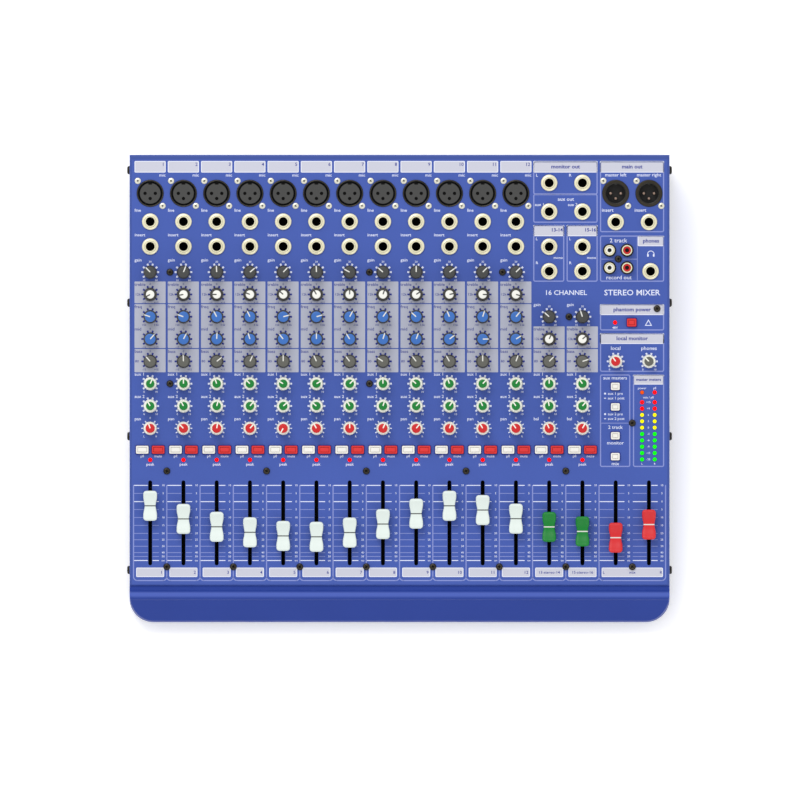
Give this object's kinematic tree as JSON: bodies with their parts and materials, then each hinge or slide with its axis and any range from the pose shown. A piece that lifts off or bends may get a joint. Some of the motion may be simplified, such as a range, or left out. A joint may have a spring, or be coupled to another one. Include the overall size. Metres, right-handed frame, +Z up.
{
  "type": "mixing console",
  "caption": "Free-standing desk mixing console with a sloping panel of sockets, rotary controls, push buttons and slide faders.",
  "frame": {"origin": "under the middle of the console, on the surface it stands on", "axes": "+Z up, +X to the user's right, -Y towards the user"},
  "size_m": [0.436, 0.3699, 0.0859],
  "materials": {
    "cover_paint": "satin powder coat",
    "nose_paint": "satin moulded",
    "tray_paint": "satin powder coat",
    "rubber": "matte",
    "black_steel": "black oxide",
    "nickel": "satin nickel",
    "cream_nickel": "satin nickel",
    "black_plastic": "moulded",
    "grey_plastic": "moulded",
    "board_green": "solder resist",
    "white_plastic": "moulded",
    "red_plastic": "moulded",
    "green_plastic": "moulded",
    "blue_plastic": "moulded",
    "dark_plastic": "moulded",
    "led_lens": "translucent",
    "socket_metal": "blackened zinc"
  },
  "bodies": {
    "console": {"top_cover": "cover_paint", "base_tray": "tray_paint", "front_nose": "nose_paint", "rubber_feet": "rubber", "case_screws": "black_steel", "xlr_screws": "nickel", "standoffs": "nickel", "circuit_boards": "board_green", "mic_sockets": "socket_metal", "output_sockets": "socket_metal", "jack_bodies": "black_plastic", "jack_nuts": "cream_nickel", "phono_sockets": "black_plastic", "indicator_leds": "led_lens", "rotary_pots": "grey_plastic", "dark_knobs": "dark_plastic", "white_knobs": "white_plastic", "blue_knobs": "blue_plastic", "green_knobs": "green_plastic", "red_knobs": "red_plastic", "white_buttons": "white_plastic", "red_buttons": "red_plastic", "switch_bodies": "black_plastic", "fader_tracks": "grey_plastic", "power_supply": "board_green", "power_inlet": "black_plastic"},
    "gain_knob_1": {"gain_knob_1": "dark_plastic"},
    "treble_knob_1": {"treble_knob_1": "white_plastic"},
    "mid_freq_knob_1": {"mid_freq_knob_1": "blue_plastic"},
    "mid_knob_1": {"mid_knob_1": "blue_plastic"},
    "bass_knob_1": {"bass_knob_1": "dark_plastic"},
    "aux_1_knob_1": {"aux_1_knob_1": "green_plastic"},
    "aux_2_knob_1": {"aux_2_knob_1": "green_plastic"},
    "pan_knob_1": {"pan_knob_1": "red_plastic"},
    "local_knob": {"local_knob": "red_plastic"},
    "phones_knob": {"phones_knob": "dark_plastic"},
    "fader_01": {"fader_01": "white_plastic"},
    "fader_02": {"fader_02": "white_plastic"},
    "fader_03": {"fader_03": "white_plastic"},
    "fader_04": {"fader_04": "white_plastic"},
    "fader_05": {"fader_05": "white_plastic"},
    "fader_06": {"fader_06": "white_plastic"},
    "fader_07": {"fader_07": "white_plastic"},
    "fader_08": {"fader_08": "white_plastic"},
    "fader_09": {"fader_09": "white_plastic"},
    "fader_10": {"fader_10": "white_plastic"},
    "fader_11": {"fader_11": "white_plastic"},
    "fader_12": {"fader_12": "white_plastic"},
    "fader_13": {"fader_13": "green_plastic"},
    "fader_14": {"fader_14": "green_plastic"},
    "fader_15": {"fader_15": "red_plastic"},
    "fader_16": {"fader_16": "red_plastic"},
    "pfl_button_1": {"pfl_button_1": "white_plastic"},
    "mute_button_1": {"mute_button_1": "red_plastic"},
    "phantom_button": {"phantom_button": "red_plastic"},
    "aux_1_pre_button": {"aux_1_pre_button": "white_plastic"},
    "aux_2_pre_button": {"aux_2_pre_button": "white_plastic"},
    "two_track_monitor_button": {"two_track_monitor_button": "white_plastic"},
    "two_track_mix_button": {"two_track_mix_button": "white_plastic"},
    "power_rocker": {"power_rocker": "black_plastic"}
  },
  "joints": [
    {"name": "gain_knob_1_turn", "type": "hinge", "parent": "console", "child": "gain_knob_1", "pos_m": [-0.1995, 0.08849, 0.07749], "axis": [0, -0.1219, 0.9925], "range_deg": [-194, 106]},
    {"name": "treble_knob_1_turn", "type": "hinge", "parent": "console", "child": "treble_knob_1", "pos_m": [-0.1995, 0.07078, 0.07532], "axis": [0, -0.1219, 0.9925], "range_deg": [-268, 32]},
    {"name": "mid_freq_knob_1_turn", "type": "hinge", "parent": "console", "child": "mid_freq_knob_1", "pos_m": [-0.1995, 0.05306, 0.07314], "axis": [0, -0.1219, 0.9925], "range_deg": [-222, 78]},
    {"name": "mid_knob_1_turn", "type": "hinge", "parent": "console", "child": "mid_knob_1", "pos_m": [-0.1995, 0.03534, 0.07097], "axis": [0, -0.1219, 0.9925], "range_deg": [-108, 192]},
    {"name": "bass_knob_1_turn", "type": "hinge", "parent": "console", "child": "bass_knob_1", "pos_m": [-0.1995, 0.01762, 0.06879], "axis": [0, -0.1219, 0.9925], "range_deg": [-192, 108]},
    {"name": "aux_1_knob_1_turn", "type": "hinge", "parent": "console", "child": "aux_1_knob_1", "pos_m": [-0.1995, -0.00009, 0.06662], "axis": [0, -0.1219, 0.9925], "range_deg": [-125, 175]},
    {"name": "aux_2_knob_1_turn", "type": "hinge", "parent": "console", "child": "aux_2_knob_1", "pos_m": [-0.1995, -0.01781, 0.06444], "axis": [0, -0.1219, 0.9925], "range_deg": [-180, 120]},
    {"name": "pan_knob_1_turn", "type": "hinge", "parent": "console", "child": "pan_knob_1", "pos_m": [-0.1995, -0.03553, 0.06227], "axis": [0, -0.1219, 0.9925], "range_deg": [-170, 130]},
    {"name": "local_knob_turn", "type": "hinge", "parent": "console", "child": "local_knob", "pos_m": [0.1729, 0.01762, 0.06879], "axis": [0, -0.1219, 0.9925], "range_deg": [-185, 115]},
    {"name": "phones_knob_turn", "type": "hinge", "parent": "console", "child": "phones_knob", "pos_m": [0.1995, 0.01762, 0.06879], "axis": [0, -0.1219, 0.9925], "range_deg": [-195, 105]},
    {"name": "fader_01_slide", "type": "slide", "parent": "console", "child": "fader_01", "axis": [0, 0.9925, 0.1219], "range_m": [-0.0438, 0.0162]},
    {"name": "fader_02_slide", "type": "slide", "parent": "console", "child": "fader_02", "axis": [0, 0.9925, 0.1219], "range_m": [-0.0333, 0.0267]},
    {"name": "fader_03_slide", "type": "slide", "parent": "console", "child": "fader_03", "axis": [0, 0.9925, 0.1219], "range_m": [-0.027, 0.033]},
    {"name": "fader_04_slide", "type": "slide", "parent": "console", "child": "fader_04", "axis": [0, 0.9925, 0.1219], "range_m": [-0.0226, 0.0374]},
    {"name": "fader_05_slide", "type": "slide", "parent": "console", "child": "fader_05", "axis": [0, 0.9925, 0.1219], "range_m": [-0.0197, 0.0403]},
    {"name": "fader_06_slide", "type": "slide", "parent": "console", "child": "fader_06", "axis": [0, 0.9925, 0.1219], "range_m": [-0.019, 0.041]},
    {"name": "fader_07_slide", "type": "slide", "parent": "console", "child": "fader_07", "axis": [0, 0.9925, 0.1219], "range_m": [-0.0224, 0.0376]},
    {"name": "fader_08_slide", "type": "slide", "parent": "console", "child": "fader_08", "axis": [0, 0.9925, 0.1219], "range_m": [-0.0292, 0.0308]},
    {"name": "fader_09_slide", "type": "slide", "parent": "console", "child": "fader_09", "axis": [0, 0.9925, 0.1219], "range_m": [-0.0375, 0.0225]},
    {"name": "fader_10_slide", "type": "slide", "parent": "console", "child": "fader_10", "axis": [0, 0.9925, 0.1219], "range_m": [-0.0438, 0.0162]},
    {"name": "fader_11_slide", "type": "slide", "parent": "console", "child": "fader_11", "axis": [0, 0.9925, 0.1219], "range_m": [-0.0404, 0.0196]},
    {"name": "fader_12_slide", "type": "slide", "parent": "console", "child": "fader_12", "axis": [0, 0.9925, 0.1219], "range_m": [-0.0335, 0.0265]},
    {"name": "fader_13_slide", "type": "slide", "parent": "console", "child": "fader_13", "axis": [0, 0.9925, 0.1219], "range_m": [-0.0269, 0.0331]},
    {"name": "fader_14_slide", "type": "slide", "parent": "console", "child": "fader_14", "axis": [0, 0.9925, 0.1219], "range_m": [-0.0233, 0.0367]},
    {"name": "fader_15_slide", "type": "slide", "parent": "console", "child": "fader_15", "axis": [0, 0.9925, 0.1219], "range_m": [-0.0183, 0.0417]},
    {"name": "fader_16_slide", "type": "slide", "parent": "console", "child": "fader_16", "axis": [0, 0.9925, 0.1219], "range_m": [-0.0288, 0.0312]},
    {"name": "pfl_button_1_press", "type": "slide", "parent": "console", "child": "pfl_button_1", "axis": [0, 0.1219, -0.9925], "range_m": [0, 0.002], "stiffness_N_per_m": 600},
    {"name": "mute_button_1_press", "type": "slide", "parent": "console", "child": "mute_button_1", "axis": [0, 0.1219, -0.9925], "range_m": [0, 0.002], "stiffness_N_per_m": 600},
    {"name": "phantom_button_press", "type": "slide", "parent": "console", "child": "phantom_button", "axis": [0, 0.1219, -0.9925], "range_m": [0, 0.002], "stiffness_N_per_m": 600},
    {"name": "aux_1_pre_button_press", "type": "slide", "parent": "console", "child": "aux_1_pre_button", "axis": [0, 0.1219, -0.9925], "range_m": [0, 0.002], "stiffness_N_per_m": 600},
    {"name": "aux_2_pre_button_press", "type": "slide", "parent": "console", "child": "aux_2_pre_button", "axis": [0, 0.1219, -0.9925], "range_m": [0, 0.002], "stiffness_N_per_m": 600},
    {"name": "two_track_monitor_button_press", "type": "slide", "parent": "console", "child": "two_track_monitor_button", "axis": [0, 0.1219, -0.9925], "range_m": [0, 0.002], "stiffness_N_per_m": 600},
    {"name": "two_track_mix_button_press", "type": "slide", "parent": "console", "child": "two_track_mix_button", "axis": [0, 0.1219, -0.9925], "range_m": [0, 0.002], "stiffness_N_per_m": 600},
    {"name": "power_rocker_tilt", "type": "hinge", "parent": "console", "child": "power_rocker", "pos_m": [0.104, 0.1793, 0.036], "axis": [1, 0, 0], "range_deg": [-16, 0]}
  ]
}
